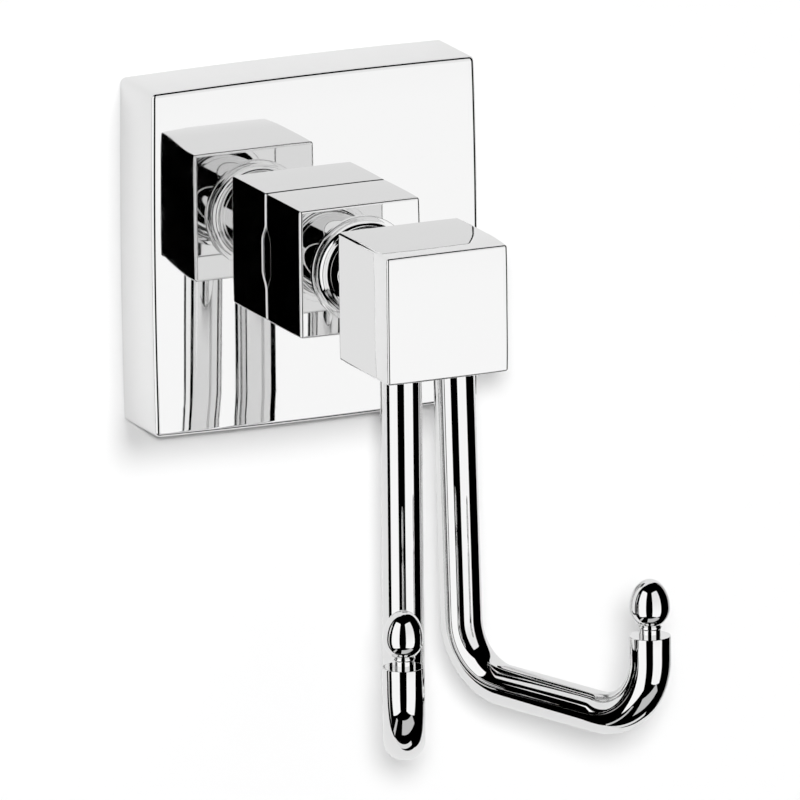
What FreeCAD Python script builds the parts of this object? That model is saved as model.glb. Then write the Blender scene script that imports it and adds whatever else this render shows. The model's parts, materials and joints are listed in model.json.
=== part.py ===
import FreeCAD, Part
import math
import os
import Sketcher

# Double robe hook: a square wall plate over a concealed bracket, a post turned
# from square bar, and two bent rods whose tips end in a turned egg.
# Origin: centre of the plate, on the wall. +Z is up and the wall lies at +Y. The post stands
# a little to the right of the plate's centre and below it.

# Driving sizes in millimetres and degrees
SIZES = {
    "plate_side": 50.8,
    "plate_bow": 0.3,
    "plate_depth": 11.4,
    "plate_corner": 0.8,
    "plate_edge": 0.7,
    "plate_wall": 2.4,
    "plate_face": 2.4,
    "hollow_corner": 1.2,
    "bracket_play": 3.0,
    "bracket_face_play": 1.0,
    "bracket_sheet": 1.6,
    "bracket_bend": 0.8,
    "wall_hole": 4.5,
    "wall_spacing": 26.0,
    "lock_diameter": 4.0,
    "lock_length": 4.0,
    "lock_inset": 0.4,
    "lock_set_out": 5.0,
    "lock_key": 2.0,
    "lock_key_depth": 1.8,
    "post_side": 19.05,
    "post_aside": 1.6,
    "post_below": 0.6,
    "post_edge": 0.3,
    "base_length": 12.0,
    "neck_length": 13.0,
    "cube_length": 17.0,
    "neck_diameter": 12.6,
    "neck_cove": 1.0,
    "ring_diameter": 15.6,
    "ring_height": 0.4,
    "relief_radius": 6.0,
    "relief_depth": 1.8,
    "bolt_diameter": 5.0,
    "bolt_grip": 9.0,
    "bolt_clearance": 0.5,
    "bolt_head": 9.0,
    "bolt_head_height": 2.6,
    "bolt_head_round": 1.2,
    "bolt_key": 3.0,
    "bolt_key_depth": 1.6,
    "washer_diameter": 11.0,
    "washer_thick": 1.0,
    "pin_diameter": 2.0,
    "pin_depth": 3.0,
    "pin_offset": 6.9,
    "rod_diameter": 6.0,
    "stem_spacing": 8.3,
    "stem_setback": 7.4,
    "stem_trim": 0.5,
    "socket_depth": 9.0,
    "spigot_diameter": 4.0,
    "hook_reach": 36.5,
    "hook_drop": 46.75,
    "tip_rise": 12.9,
    "stem_bend": 8.9,
    "tip_bend": 9.5,
    "stem_angle": 1.5,
    "arm_angle": 3.0,
    "splay_angle": 24.5,
    "tip_edge": 0.12,
    "egg_width": 5.8,
    "egg_top": 4.15,
    "egg_bottom": 3.0,
    "egg_height": 4.1,
    "egg_neck": 2.7,
    "band_diameter": 3.1,
    "band_height": 1.0,
    "bead_size": 0.66,
    "bead_height": 1.27,
}

SHORTEST_EDGE = 0.01
Vector = FreeCAD.Vector
TOWARDS_FRONT = FreeCAD.Rotation(Vector(1, 0, 0), 90)
TOWARDS_RIGHT = FreeCAD.Rotation(Vector(0, 1, 0), 90)
UPRIGHT = FreeCAD.Rotation()

# Places along the post, as distances in front of the wall
POST_SEAT = "sizes.plate_depth"
BASE_FRONT = "(sizes.plate_depth + sizes.base_length)"
CUBE_BACK = "(sizes.plate_depth + sizes.base_length + sizes.neck_length)"
CUBE_FRONT = "(sizes.plate_depth + sizes.base_length + sizes.neck_length + sizes.cube_length)"
PLATE_INNER = "(sizes.plate_depth - sizes.plate_face)"
HOLLOW_HALF = "(sizes.plate_side / 2 - sizes.plate_wall)"
LOCK_INNER = "(sizes.plate_side / 2 + sizes.plate_bow - sizes.lock_inset - sizes.lock_length)"
BRACKET_HEIGHT = "(" + HOLLOW_HALF + " + " + LOCK_INNER + ")"
BRACKET_HALF = "(" + HOLLOW_HALF + " - sizes.bracket_play)"
BRACKET_REACH = "(" + PLATE_INNER + " - sizes.bracket_face_play)"

doc = FreeCAD.newDocument("double_robe_hook")
sheet = doc.addObject("Spreadsheet::Sheet", "sizes")
for row, (alias, value) in enumerate(SIZES.items(), start=1):
    sheet.set("A%d" % row, alias)
    sheet.set("B%d" % row, str(value))
    sheet.setAlias("B%d" % row, alias)
doc.recompute()


def size(alias):
    """The number that the sheet holds under an alias."""
    return float(sheet.get(alias))


def new_body(label):
    body = doc.addObject("PartDesign::Body", label)
    body.Label = label
    return body


def new_sketch(body, name, plane_role):
    """A sketch lying on one of the body's own origin planes."""
    sketch = body.newObject("Sketcher::SketchObject", name)
    plane = [item for item in body.Origin.OriginFeatures if item.Role == plane_role][0]
    sketch.AttachmentSupport = [(plane, "")]
    sketch.MapMode = "FlatFace"
    return sketch


def bound_constraint(sketch, expression, *arguments):
    """Add a constraint whose value follows the sheet."""
    index = sketch.addConstraint(Sketcher.Constraint(*arguments))
    sketch.setExpression("Constraints[%d]" % index, expression)


def primitive(body, kind, name, place, turn=UPRIGHT, **sizes):
    """A PartDesign primitive with its sizes and its place bound to the sheet."""
    item = body.newObject("PartDesign::" + kind, name)
    item.Placement = FreeCAD.Placement(Vector(), turn)
    for key, expression in sizes.items():
        item.setExpression(key, expression)
    for axis, expression in zip("xyz", place):
        item.setExpression("Placement.Base." + axis, expression)
    return item


def edges_where(shape, accepts):
    """Names of the edges whose bounding box passes a test."""
    return ["Edge%d" % number for number, edge in enumerate(shape.Edges, start=1)
            if edge.Length > SHORTEST_EDGE and accepts(edge.BoundBox)]


def round_edges(body, name, accepts, radius):
    """Fillet the edges of the body's last feature that pass a test."""
    doc.recompute()
    base = body.Tip
    fillet = body.newObject("PartDesign::Fillet", name)
    fillet.Base = (base, edges_where(base.Shape, accepts))
    fillet.setExpression("Radius", radius)
    doc.recompute()
    return fillet


def near(value, target):
    return abs(value - target) < 1e-4


def is_straight(box):
    """Whether an edge with this box is parallel to one of the axes."""
    lengths = sorted((box.XLength, box.YLength, box.ZLength))
    return near(lengths[1], 0)


def faces_along_y(box):
    """Whether an edge with this box is a straight line along Y."""
    return is_straight(box) and box.YLength > SHORTEST_EDGE


def faces_along_x(box):
    """Whether an edge with this box is a straight line along X."""
    return is_straight(box) and box.XLength > SHORTEST_EDGE


def make_wall_plate():
    """Cast square cover with softly bowed sides, open at the back."""
    body = new_body("wall_plate")
    half = size("plate_side") / 2
    bow = size("plate_bow")
    radius = (half * half + bow * bow) / (2 * bow)
    outline = new_sketch(body, "plate_outline", "XZ_Plane")
    spread = math.asin(half / radius)
    for side in range(4):
        facing = side * math.pi / 2
        centre = Vector(math.cos(facing), math.sin(facing), 0) * (half + bow - radius)
        circle = Part.Circle(centre, Vector(0, 0, 1), radius)
        outline.addGeometry(Part.ArcOfCircle(circle, facing - spread, facing + spread))
    corner_signs = ((1, 1), (-1, 1), (-1, -1), (1, -1))
    for side, (sign_x, sign_y) in enumerate(corner_signs):
        outline.addConstraint(Sketcher.Constraint("Coincident", side, 2, (side + 1) % 4, 1))
        bound_constraint(outline, "%d * sizes.plate_side / 2" % sign_x,
                         "DistanceX", -1, 1, side, 2, sign_x * half)
        bound_constraint(outline, "%d * sizes.plate_side / 2" % sign_y,
                         "DistanceY", -1, 1, side, 2, sign_y * half)
        bound_constraint(outline, "(sizes.plate_side^2 / 4 + sizes.plate_bow^2) / (2 * sizes.plate_bow)",
                         "Radius", side, radius)
    pad = body.newObject("PartDesign::Pad", "plate_pad")
    pad.Profile = outline
    pad.setExpression("Length", "sizes.plate_depth")
    round_edges(body, "plate_corners", faces_along_y, "sizes.plate_corner")
    front = -size("plate_depth")
    round_edges(body, "plate_front_edge", lambda box: near(box.YMax, front), "sizes.plate_edge")
    primitive(body, "SubtractiveBox", "plate_hollow",
              ("-" + HOLLOW_HALF, "-" + PLATE_INNER, "-" + HOLLOW_HALF),
              Length="2 * " + HOLLOW_HALF, Width=PLATE_INNER, Height="2 * " + HOLLOW_HALF)
    inner = size("plate_side") / 2 - size("plate_wall")
    round_edges(body, "hollow_corners",
                lambda box: faces_along_y(box) and near(abs(box.XMax), inner),
                "sizes.hollow_corner")
    primitive(body, "SubtractiveCylinder", "bolt_clearance_hole",
              ("sizes.post_aside", "-" + PLATE_INNER, "-sizes.post_below"),
              TOWARDS_FRONT, Radius="(sizes.bolt_diameter + sizes.bolt_clearance) / 2",
              Height="sizes.plate_face")
    primitive(body, "SubtractiveCylinder", "pin_hole",
              ("sizes.post_aside", "-" + PLATE_INNER, "sizes.pin_offset - sizes.post_below"),
              TOWARDS_FRONT, Radius="sizes.pin_diameter / 2", Height="sizes.plate_face")
    primitive(body, "SubtractiveCylinder", "lock_hole",
              ("0", "-sizes.lock_set_out", "-sizes.plate_side / 2 - sizes.plate_bow"),
              Radius="sizes.lock_diameter / 2",
              Height="sizes.plate_wall + sizes.plate_bow")
    return body


def make_wall_bracket():
    """Folded sheet channel that the plate hangs on and is locked to."""
    body = new_body("wall_bracket")
    primitive(body, "AdditiveBox", "bracket_back",
              ("-" + BRACKET_HALF, "-sizes.bracket_sheet", "-" + LOCK_INNER),
              Length="2 * " + BRACKET_HALF, Width="sizes.bracket_sheet", Height=BRACKET_HEIGHT)
    primitive(body, "AdditiveBox", "bracket_upper_flange",
              ("-" + BRACKET_HALF, "-" + BRACKET_REACH, HOLLOW_HALF + " - sizes.bracket_sheet"),
              Length="2 * " + BRACKET_HALF, Width=BRACKET_REACH, Height="sizes.bracket_sheet")
    primitive(body, "AdditiveBox", "bracket_lower_flange",
              ("-" + BRACKET_HALF, "-" + BRACKET_REACH, "-" + LOCK_INNER),
              Length="2 * " + BRACKET_HALF, Width=BRACKET_REACH, Height="sizes.bracket_sheet")
    sheet_front = -size("bracket_sheet")
    round_edges(body, "inner_bends",
                lambda box: faces_along_x(box) and near(box.YMax, sheet_front), "sizes.bracket_bend")
    round_edges(body, "outer_bends",
                lambda box: faces_along_x(box) and near(box.YMax, 0),
                "sizes.bracket_bend + sizes.bracket_sheet")
    for side, sign in (("left", "-"), ("right", "")):
        primitive(body, "SubtractiveCylinder", side + "_wall_hole",
                  (sign + "sizes.wall_spacing / 2", "0", "0"), TOWARDS_FRONT,
                  Radius="sizes.wall_hole / 2", Height="sizes.bracket_sheet")
    return body


def make_plate_lock_screw():
    """Headless socket screw in the plate's underside, bearing on the bracket."""
    body = new_body("plate_lock_screw")
    primitive(body, "AdditiveCylinder", "lock_shank",
              ("0", "-sizes.lock_set_out", "-" + LOCK_INNER + " - sizes.lock_length"),
              Radius="sizes.lock_diameter / 2", Height="sizes.lock_length")
    socket = primitive(body, "SubtractivePrism", "lock_socket",
                       ("0", "-sizes.lock_set_out", "-" + LOCK_INNER + " - sizes.lock_length"),
                       Circumradius="sizes.lock_key / sqrt(3)", Height="sizes.lock_key_depth")
    socket.Polygon = 6
    return body


def place_on_plate(body):
    """Bring a piece that is built round the post's axis to its place on the plate."""
    body.setExpression("Placement.Base.x", "sizes.post_aside")
    body.setExpression("Placement.Base.z", "-sizes.post_below")


def make_post():
    """Square bar with a turned neck between its base block and its cube."""
    body = new_body("post")
    half_side = "-sizes.post_side / 2"
    primitive(body, "AdditiveBox", "base_block", (half_side, "-" + BASE_FRONT, half_side),
              Length="sizes.post_side", Width="sizes.base_length", Height="sizes.post_side")
    primitive(body, "AdditiveCylinder", "neck", ("0", "-" + BASE_FRONT, "0"), TOWARDS_FRONT,
              Radius="sizes.neck_diameter / 2", Height="sizes.neck_length")
    primitive(body, "AdditiveCylinder", "base_ring", ("0", "-" + BASE_FRONT, "0"), TOWARDS_FRONT,
              Radius="sizes.ring_diameter / 2", Height="sizes.ring_height")
    primitive(body, "AdditiveCylinder", "cube_ring",
              ("0", "-" + CUBE_BACK + " + sizes.ring_height", "0"), TOWARDS_FRONT,
              Radius="sizes.ring_diameter / 2", Height="sizes.ring_height")
    primitive(body, "AdditiveBox", "cube", (half_side, "-" + CUBE_FRONT, half_side),
              Length="sizes.post_side", Width="sizes.cube_length", Height="sizes.post_side")
    half = size("post_side") / 2
    round_edges(body, "block_edges",
                lambda box: is_straight(box) and (near(box.XMax, half) or near(box.XMin, -half)
                                                  or near(box.ZMax, half) or near(box.ZMin, -half)),
                "sizes.post_edge")
    neck = size("neck_diameter")
    round_edges(body, "neck_coves", lambda box: near(box.XLength, neck) and near(box.YLength, 0),
                "sizes.neck_cove")
    primitive(body, "SubtractiveCylinder", "seat_relief",
              ("-sizes.post_side", "-" + POST_SEAT + " + sizes.relief_radius - sizes.relief_depth", "0"),
              TOWARDS_RIGHT, Radius="sizes.relief_radius", Height="2 * sizes.post_side")
    primitive(body, "SubtractiveCylinder", "bolt_thread", ("0", "-" + POST_SEAT, "0"), TOWARDS_FRONT,
              Radius="sizes.bolt_diameter / 2", Height="sizes.bolt_grip")
    primitive(body, "SubtractiveCylinder", "pin_socket", ("0", "-" + POST_SEAT, "sizes.pin_offset"),
              TOWARDS_FRONT, Radius="sizes.pin_diameter / 2", Height="sizes.pin_depth")
    for side, sign in (("left", "-"), ("right", "")):
        primitive(body, "SubtractiveCylinder", side + "_hook_socket",
                  (sign + "sizes.stem_spacing / 2", "-" + CUBE_FRONT + " + sizes.stem_setback", half_side),
                  Radius="sizes.spigot_diameter / 2", Height="sizes.socket_depth")
    place_on_plate(body)
    return body


def make_post_bolt():
    """Button head socket bolt that draws the post onto the plate from behind."""
    body = new_body("post_bolt")
    primitive(body, "AdditiveCylinder", "bolt_head",
              ("0", "-" + PLATE_INNER + " + sizes.washer_thick + sizes.bolt_head_height", "0"),
              TOWARDS_FRONT, Radius="sizes.bolt_head / 2", Height="sizes.bolt_head_height")
    head_back = -size("plate_depth") + size("plate_face") + size("washer_thick") + size("bolt_head_height")
    round_edges(body, "head_dome", lambda box: near(box.YMin, head_back) and near(box.YMax, head_back),
                "sizes.bolt_head_round")
    primitive(body, "AdditiveCylinder", "bolt_shank",
              ("0", "-" + PLATE_INNER + " + sizes.washer_thick", "0"), TOWARDS_FRONT,
              Radius="sizes.bolt_diameter / 2",
              Height="sizes.washer_thick + sizes.plate_face + sizes.bolt_grip")
    socket = primitive(body, "SubtractivePrism", "bolt_socket",
                       ("0", "-" + PLATE_INNER + " + sizes.washer_thick + sizes.bolt_head_height", "0"),
                       TOWARDS_FRONT, Circumradius="sizes.bolt_key / sqrt(3)",
                       Height="sizes.bolt_key_depth")
    socket.Polygon = 6
    place_on_plate(body)
    return body


def make_post_washer():
    body = new_body("post_washer")
    primitive(body, "AdditiveCylinder", "washer_disc",
              ("0", "-" + PLATE_INNER + " + sizes.washer_thick", "0"), TOWARDS_FRONT,
              Radius="sizes.washer_diameter / 2", Height="sizes.washer_thick")
    primitive(body, "SubtractiveCylinder", "washer_hole",
              ("0", "-" + PLATE_INNER + " + sizes.washer_thick", "0"), TOWARDS_FRONT,
              Radius="(sizes.bolt_diameter + sizes.bolt_clearance) / 2", Height="sizes.washer_thick")
    place_on_plate(body)
    return body


def make_locating_pin():
    """Pin through the plate's face that keeps the post square to the plate."""
    body = new_body("locating_pin")
    primitive(body, "AdditiveCylinder", "pin", ("0", "-" + PLATE_INNER, "sizes.pin_offset"),
              TOWARDS_FRONT, Radius="sizes.pin_diameter / 2", Height="sizes.plate_face + sizes.pin_depth")
    place_on_plate(body)
    return body


def hook_route(body):
    """Centre line of a hook: down the leaning stem, out along the arm and up the tip."""
    reach = size("hook_reach")
    trim = size("stem_trim")
    lean = math.radians(size("stem_angle"))
    slope = math.radians(size("arm_angle"))
    stem_bend = size("stem_bend")
    tip_bend = size("tip_bend")
    tip_end = Vector(-reach, size("tip_rise") - size("hook_drop"), 0)
    tip_centre = Vector(tip_bend - reach, tip_bend - size("hook_drop"), 0)
    down_stem = Vector(-math.sin(lean), -math.cos(lean), 0)
    off_stem = Vector(-math.cos(lean), math.sin(lean), 0)
    off_arm = Vector(-math.sin(slope), math.cos(slope), 0)
    arm_end = tip_centre - off_arm * tip_bend
    stem_length = (math.sin(lean + slope) - 1) * stem_bend - arm_end.dot(off_arm)
    stem_end = down_stem * (stem_length / math.cos(lean + slope))
    stem_centre = stem_end + off_stem * stem_bend
    arm_start = stem_centre - off_arm * stem_bend
    stem_start = down_stem * (-trim / math.cos(lean))
    tip_start = Vector(-reach, tip_centre.y, 0)
    route = new_sketch(body, body.Label + "_route", "YZ_Plane")
    upward = Vector(0, 0, 1)
    arc_end = slope - math.pi / 2
    stem_circle = Part.Circle(stem_centre, upward, stem_bend)
    tip_circle = Part.Circle(tip_centre, upward, tip_bend)
    stem = route.addGeometry(Part.LineSegment(stem_start, stem_end))
    stem_arc = route.addGeometry(Part.ArcOfCircle(stem_circle, arc_end, -lean))
    arm = route.addGeometry(Part.LineSegment(arm_end, arm_start))
    tip_arc = route.addGeometry(Part.ArcOfCircle(tip_circle, -math.pi, arc_end))
    tip = route.addGeometry(Part.LineSegment(tip_start, tip_end))
    route.addConstraint(Sketcher.Constraint("PointOnObject", -1, 1, stem))
    route.addConstraint(Sketcher.Constraint("Vertical", tip))
    route.addConstraint(Sketcher.Constraint("Tangent", stem, 2, stem_arc, 2))
    route.addConstraint(Sketcher.Constraint("Tangent", stem_arc, 1, arm, 2))
    route.addConstraint(Sketcher.Constraint("Tangent", arm, 1, tip_arc, 2))
    route.addConstraint(Sketcher.Constraint("Tangent", tip_arc, 1, tip, 1))
    bound_constraint(route, "sizes.stem_bend", "Radius", stem_arc, stem_bend)
    bound_constraint(route, "sizes.tip_bend", "Radius", tip_arc, tip_bend)
    bound_constraint(route, "sizes.stem_trim", "DistanceY", -1, 1, stem, 1, trim)
    bound_constraint(route, "-90 deg - sizes.stem_angle * 1 deg", "Angle", stem, -math.pi / 2 - lean)
    bound_constraint(route, "sizes.arm_angle * 1 deg", "Angle", arm, slope)
    bound_constraint(route, "-sizes.hook_reach", "DistanceX", -1, 1, tip, 2, tip_end.x)
    bound_constraint(route, "sizes.tip_rise - sizes.hook_drop", "DistanceY", -1, 1, tip, 2, tip_end.y)
    bound_constraint(route, "sizes.tip_bend - sizes.hook_drop",
                     "DistanceY", -1, 1, tip_arc, 3, tip_centre.y)
    return route


def make_hook(side, sign, splay):
    """One bent rod: spigot, stem, arm and a tip turned to an egg."""
    body = new_body(side + "_hook")
    route = hook_route(body)
    section = new_sketch(body, side + "_rod_section", "XY_Plane")
    section.AttachmentOffset = FreeCAD.Placement(Vector(), FreeCAD.Rotation(Vector(1, 0, 0), 1))
    section.setExpression("AttachmentOffset.Base.y", "sizes.stem_trim * tan(sizes.stem_angle * 1 deg)")
    section.setExpression("AttachmentOffset.Base.z", "sizes.stem_trim")
    section.setExpression("AttachmentOffset.Rotation.Angle", "-sizes.stem_angle")
    radius = size("rod_diameter") / 2
    circle = section.addGeometry(Part.Circle(Vector(), Vector(0, 0, 1), radius))
    section.addConstraint(Sketcher.Constraint("Coincident", circle, 3, -1, 1))
    bound_constraint(section, "sizes.rod_diameter", "Diameter", circle, 2 * radius)
    doc.recompute()
    rod = body.newObject("PartDesign::AdditivePipe", side + "_rod")
    rod.Profile = section
    rod.Spine = (route, ["Edge%d" % (number + 1) for number in range(5)])
    primitive(body, "SubtractiveBox", side + "_stem_top",
              ("-sizes.rod_diameter", "-sizes.rod_diameter", "0"),
              Length="2 * sizes.rod_diameter", Width="2 * sizes.rod_diameter",
              Height="sizes.rod_diameter")
    tip_top = "(sizes.tip_rise - sizes.hook_drop)"
    tip_height = size("tip_rise") - size("hook_drop")
    round_edges(body, side + "_tip_edge",
                lambda box: near(box.ZMin, tip_height) and near(box.ZMax, tip_height),
                "sizes.tip_edge")
    tip_place = ("0", "-sizes.hook_reach")
    primitive(body, "AdditiveCylinder", side + "_spigot", ("0", "0", "0"),
              Radius="sizes.spigot_diameter / 2", Height="sizes.socket_depth")
    primitive(body, "AdditiveCylinder", side + "_band", tip_place + (tip_top,),
              Radius="sizes.band_diameter / 2", Height="sizes.band_height")
    primitive(body, "AdditiveCylinder", side + "_egg_neck", tip_place + (tip_top,),
              Radius="sizes.egg_neck / 2", Height="sizes.egg_height - sizes.egg_bottom / 2")
    primitive(body, "AdditiveTorus", side + "_bead", tip_place + (tip_top + " + sizes.bead_height",),
              Radius1="sizes.egg_neck / 2", Radius2="sizes.bead_size / 2")
    egg_top = primitive(body, "AdditiveEllipsoid", side + "_egg_top",
                        tip_place + (tip_top + " + sizes.egg_height",),
                        Radius1="sizes.egg_top", Radius2="sizes.egg_width / 2",
                        Radius3="sizes.egg_width / 2")
    egg_top.Angle1 = 0
    egg_bottom = primitive(body, "AdditiveEllipsoid", side + "_egg_bottom",
                           tip_place + (tip_top + " + sizes.egg_height",),
                           Radius1="sizes.egg_bottom", Radius2="sizes.egg_width / 2",
                           Radius3="sizes.egg_width / 2")
    egg_bottom.Angle2 = 0
    body.Placement = FreeCAD.Placement(Vector(), FreeCAD.Rotation(Vector(0, 0, 1), 1))
    body.setExpression("Placement.Base.x", "sizes.post_aside " + sign + " sizes.stem_spacing / 2")
    body.setExpression("Placement.Base.y", "-" + CUBE_FRONT + " + sizes.stem_setback")
    body.setExpression("Placement.Base.z", "-sizes.post_below - sizes.post_side / 2")
    body.setExpression("Placement.Rotation.Angle", splay)
    return body


pieces = [
    make_wall_plate(),
    make_wall_bracket(),
    make_plate_lock_screw(),
    make_post(),
    make_post_bolt(),
    make_post_washer(),
    make_locating_pin(),
    make_hook("left", "-", "-sizes.splay_angle"),
    make_hook("right", "+", "sizes.splay_angle"),
]
doc.recompute()

for item in doc.Objects:
    if "Invalid" in item.State or "Error" in item.State:
        raise RuntimeError("%s is %s" % (item.Name, item.State))
for piece in pieces:
    if piece.Shape.isNull() or not piece.Shape.isValid():
        raise RuntimeError(piece.Label + " has no valid shape")
    if len(piece.Shape.Solids) != 1:
        raise RuntimeError(piece.Label + " is not one solid")

os.makedirs("parts", exist_ok=True)
for piece in pieces:
    piece.Shape.exportStep("parts/%s.step" % piece.Label)
    print("%s: %.1f cubic millimetres" % (piece.Label, piece.Shape.Volume))
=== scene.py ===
import json
import math

import bmesh
import bpy
from bpy.props import FloatProperty, FloatVectorProperty, PointerProperty
from mathutils import Matrix, Vector


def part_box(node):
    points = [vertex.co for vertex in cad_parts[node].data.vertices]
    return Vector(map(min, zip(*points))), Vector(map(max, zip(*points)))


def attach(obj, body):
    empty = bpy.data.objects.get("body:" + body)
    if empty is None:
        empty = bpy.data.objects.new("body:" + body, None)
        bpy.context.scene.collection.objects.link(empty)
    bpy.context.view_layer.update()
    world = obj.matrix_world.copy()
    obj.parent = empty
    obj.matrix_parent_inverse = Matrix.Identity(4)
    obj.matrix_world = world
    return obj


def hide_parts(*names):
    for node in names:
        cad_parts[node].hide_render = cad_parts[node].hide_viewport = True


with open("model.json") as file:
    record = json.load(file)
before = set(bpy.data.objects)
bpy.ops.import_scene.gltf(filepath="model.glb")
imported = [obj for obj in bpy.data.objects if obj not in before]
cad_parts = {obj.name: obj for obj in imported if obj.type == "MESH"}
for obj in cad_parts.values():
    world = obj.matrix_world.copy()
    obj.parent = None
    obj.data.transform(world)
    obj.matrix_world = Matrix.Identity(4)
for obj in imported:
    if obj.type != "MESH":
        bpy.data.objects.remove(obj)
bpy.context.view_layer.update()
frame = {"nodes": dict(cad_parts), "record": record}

# Double robe hook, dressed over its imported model: a mirror-polished plate, a square post with a
# turned neck and two bent rods, on a pale wall between two tall softboxes in a dark studio.

bl_info = {
    "name": "Double robe hook",
    "version": (1, 0, 0),
    "blender": (4, 5, 0),
    "location": "3D View > Sidebar > Robe hook",
    "description": "Builds the visible pieces, finishes and studio of a double robe hook",
    "category": "Object",
}

MM = 0.001

# Where the solids stand that the pieces here are built over
PLATE_LOW, PLATE_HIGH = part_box("wall_plate")
POST_LOW, POST_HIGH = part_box("post")
PIN_LOW, PIN_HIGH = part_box("locating_pin")
LOCK_LOW, LOCK_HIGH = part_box("plate_lock_screw")
AXIS = (POST_LOW + POST_HIGH) / 2
BOLT_RADIUS = 2.5 * MM

# How finely the round forms are divided
RING_STEPS = 64
NECK_STEPS = 96
CORNER_STEPS = 8
EDGE_STEPS = 6
RIM_STEPS = 3
ROLL_STEPS = 9
BEND_STEPS = 26
EGG_STEPS = 18
CUTTER_STEPS = 40

# Edges that turn more than this stay sharp, and a ring of points stands this close to each of them
CREASE_ANGLE = math.radians(30)
GUARD = 0.04 * MM
MERGE_DISTANCE = 1e-7

# The wall's white, and how much of it comes from the sky, its own glow and each of the two lamps
WALL_WHITE = 0.9
SKY_SHARE = 0.12
GLOW_SHARE = 0.02
DROP_SHARE = 0.44
PLATE_SHARE = 0.42

# The wall's half width, its lower and upper end, and how far it stands behind the plate
WALL_HALF_WIDTH = 190 * MM
WALL_LOW, WALL_HIGH = -300 * MM, 450 * MM
WALL_GAP = 0.05 * MM

# In reflections the wall turns dark outside these places, and is a little dimmer between them
DARK_LEFT = (-132 * MM, -126 * MM)
DARK_RIGHT = (150 * MM, 156 * MM)
WALL_DIMMING = 0.15

# The pale room in reflections starts where a direction's part into the wall passes these values
ROOM_START, ROOM_FULL = 0.3, 0.36
ROOM_LEVEL = 0.9

# Softboxes round this place: degrees to the right of the camera, degrees up, and how much of the
# brightness is left at the top
STUDIO_CENTRE = Vector((0, -45 * MM, -25 * MM))
SOFTBOXES = (
    ("left_softbox", (-67, -21), (-40, 48), 1.0),
    ("right_softbox", (16, 67), (-40, 48), 0.85),
    ("left_strip", (-84, -81.5), (4, 26), 1.0),
)

# Low cards: reach to the right and towards the camera, in card depths, and their level
LOW_CARDS = (
    ("grey_low_card", (-0.15, 0.95), (0.28, 0.82), 0.58),
    ("pale_low_card", (-0.8, 0.4), (-0.23, -0.04), 0.8),
    ("pale_low_strip", (-0.8, -0.62), (-0.1, 0.7), 0.6),
)

# The fill card's reach to the right, its place towards the camera, its lower and upper end, its
# level, and the count of reflections that it is clear below
FILL_RIGHT = (-36 * MM, -10 * MM)
FILL_NEAR = 34 * MM
FILL_LOW, FILL_HIGH = -34 * MM, 4 * MM
FILL_LEVEL = 1.0
SECOND_REFLECTION = 1.5

# Lamps: to the right and up, in degrees, and how wide they look. The first lamp's place is counted
# from the camera's, the second's from straight in front.
DROP_LAMP_RIGHT, DROP_LAMP_UP, DROP_LAMP_WIDTH = 0.6, 2.0, 3.9
PLATE_LAMP_RIGHT, PLATE_LAMP_UP, PLATE_LAMP_WIDTH = 4, 28, 28

# The camera's sensor in millimetres, and how far the camera sees in metres
SENSOR_WIDTH = 36
FAR_LIMIT = 100


def linear(hex_colour):
    """An sRGB hex colour as the linear values that Blender's sockets take."""
    values = [int(hex_colour[i:i + 2], 16) / 255 for i in (0, 2, 4)]
    return tuple(v / 12.92 if v <= 0.04045 else ((v + 0.055) / 1.055) ** 2.4 for v in values)


def length_setting(name, millimetres, description):
    """A length that the sidebar shows in the scene's own unit."""
    return FloatProperty(name=name, description=description, default=millimetres * MM,
                         unit="LENGTH", precision=5)


def angle_setting(name, degrees, description):
    """An angle that the sidebar shows in degrees."""
    return FloatProperty(name=name, description=description, default=math.radians(degrees),
                         subtype="ANGLE")


class PlateSettings(bpy.types.PropertyGroup):
    bow: length_setting("Bow", 0.3, "How far each side bulges at its middle")
    corner: length_setting("Corner radius", 0.8, "Radius of the corners, seen from the front")
    edge: length_setting("Edge radius", 0.7, "Radius between the mirror face and the sides")
    rear_edge: length_setting("Rear edge", 0.15, "Small break at the rim against the wall")
    wall: length_setting("Side wall", 2.4, "Thickness of the sides round the hollow")
    face: length_setting("Face thickness", 2.4, "Thickness of the mirror face")
    hollow_corner: length_setting("Hollow corner", 1.2, "Radius in the corners of the hollow")
    roll_width: length_setting("Buffed roll width", 4.6, "Width of the soft roll-off inside the edge")
    roll_depth: length_setting("Buffed roll depth", 0.09, "How far that roll-off falls at the edge")
    hole_clearance: length_setting("Bolt clearance", 0.5, "Play of the bolt in the face")


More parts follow.
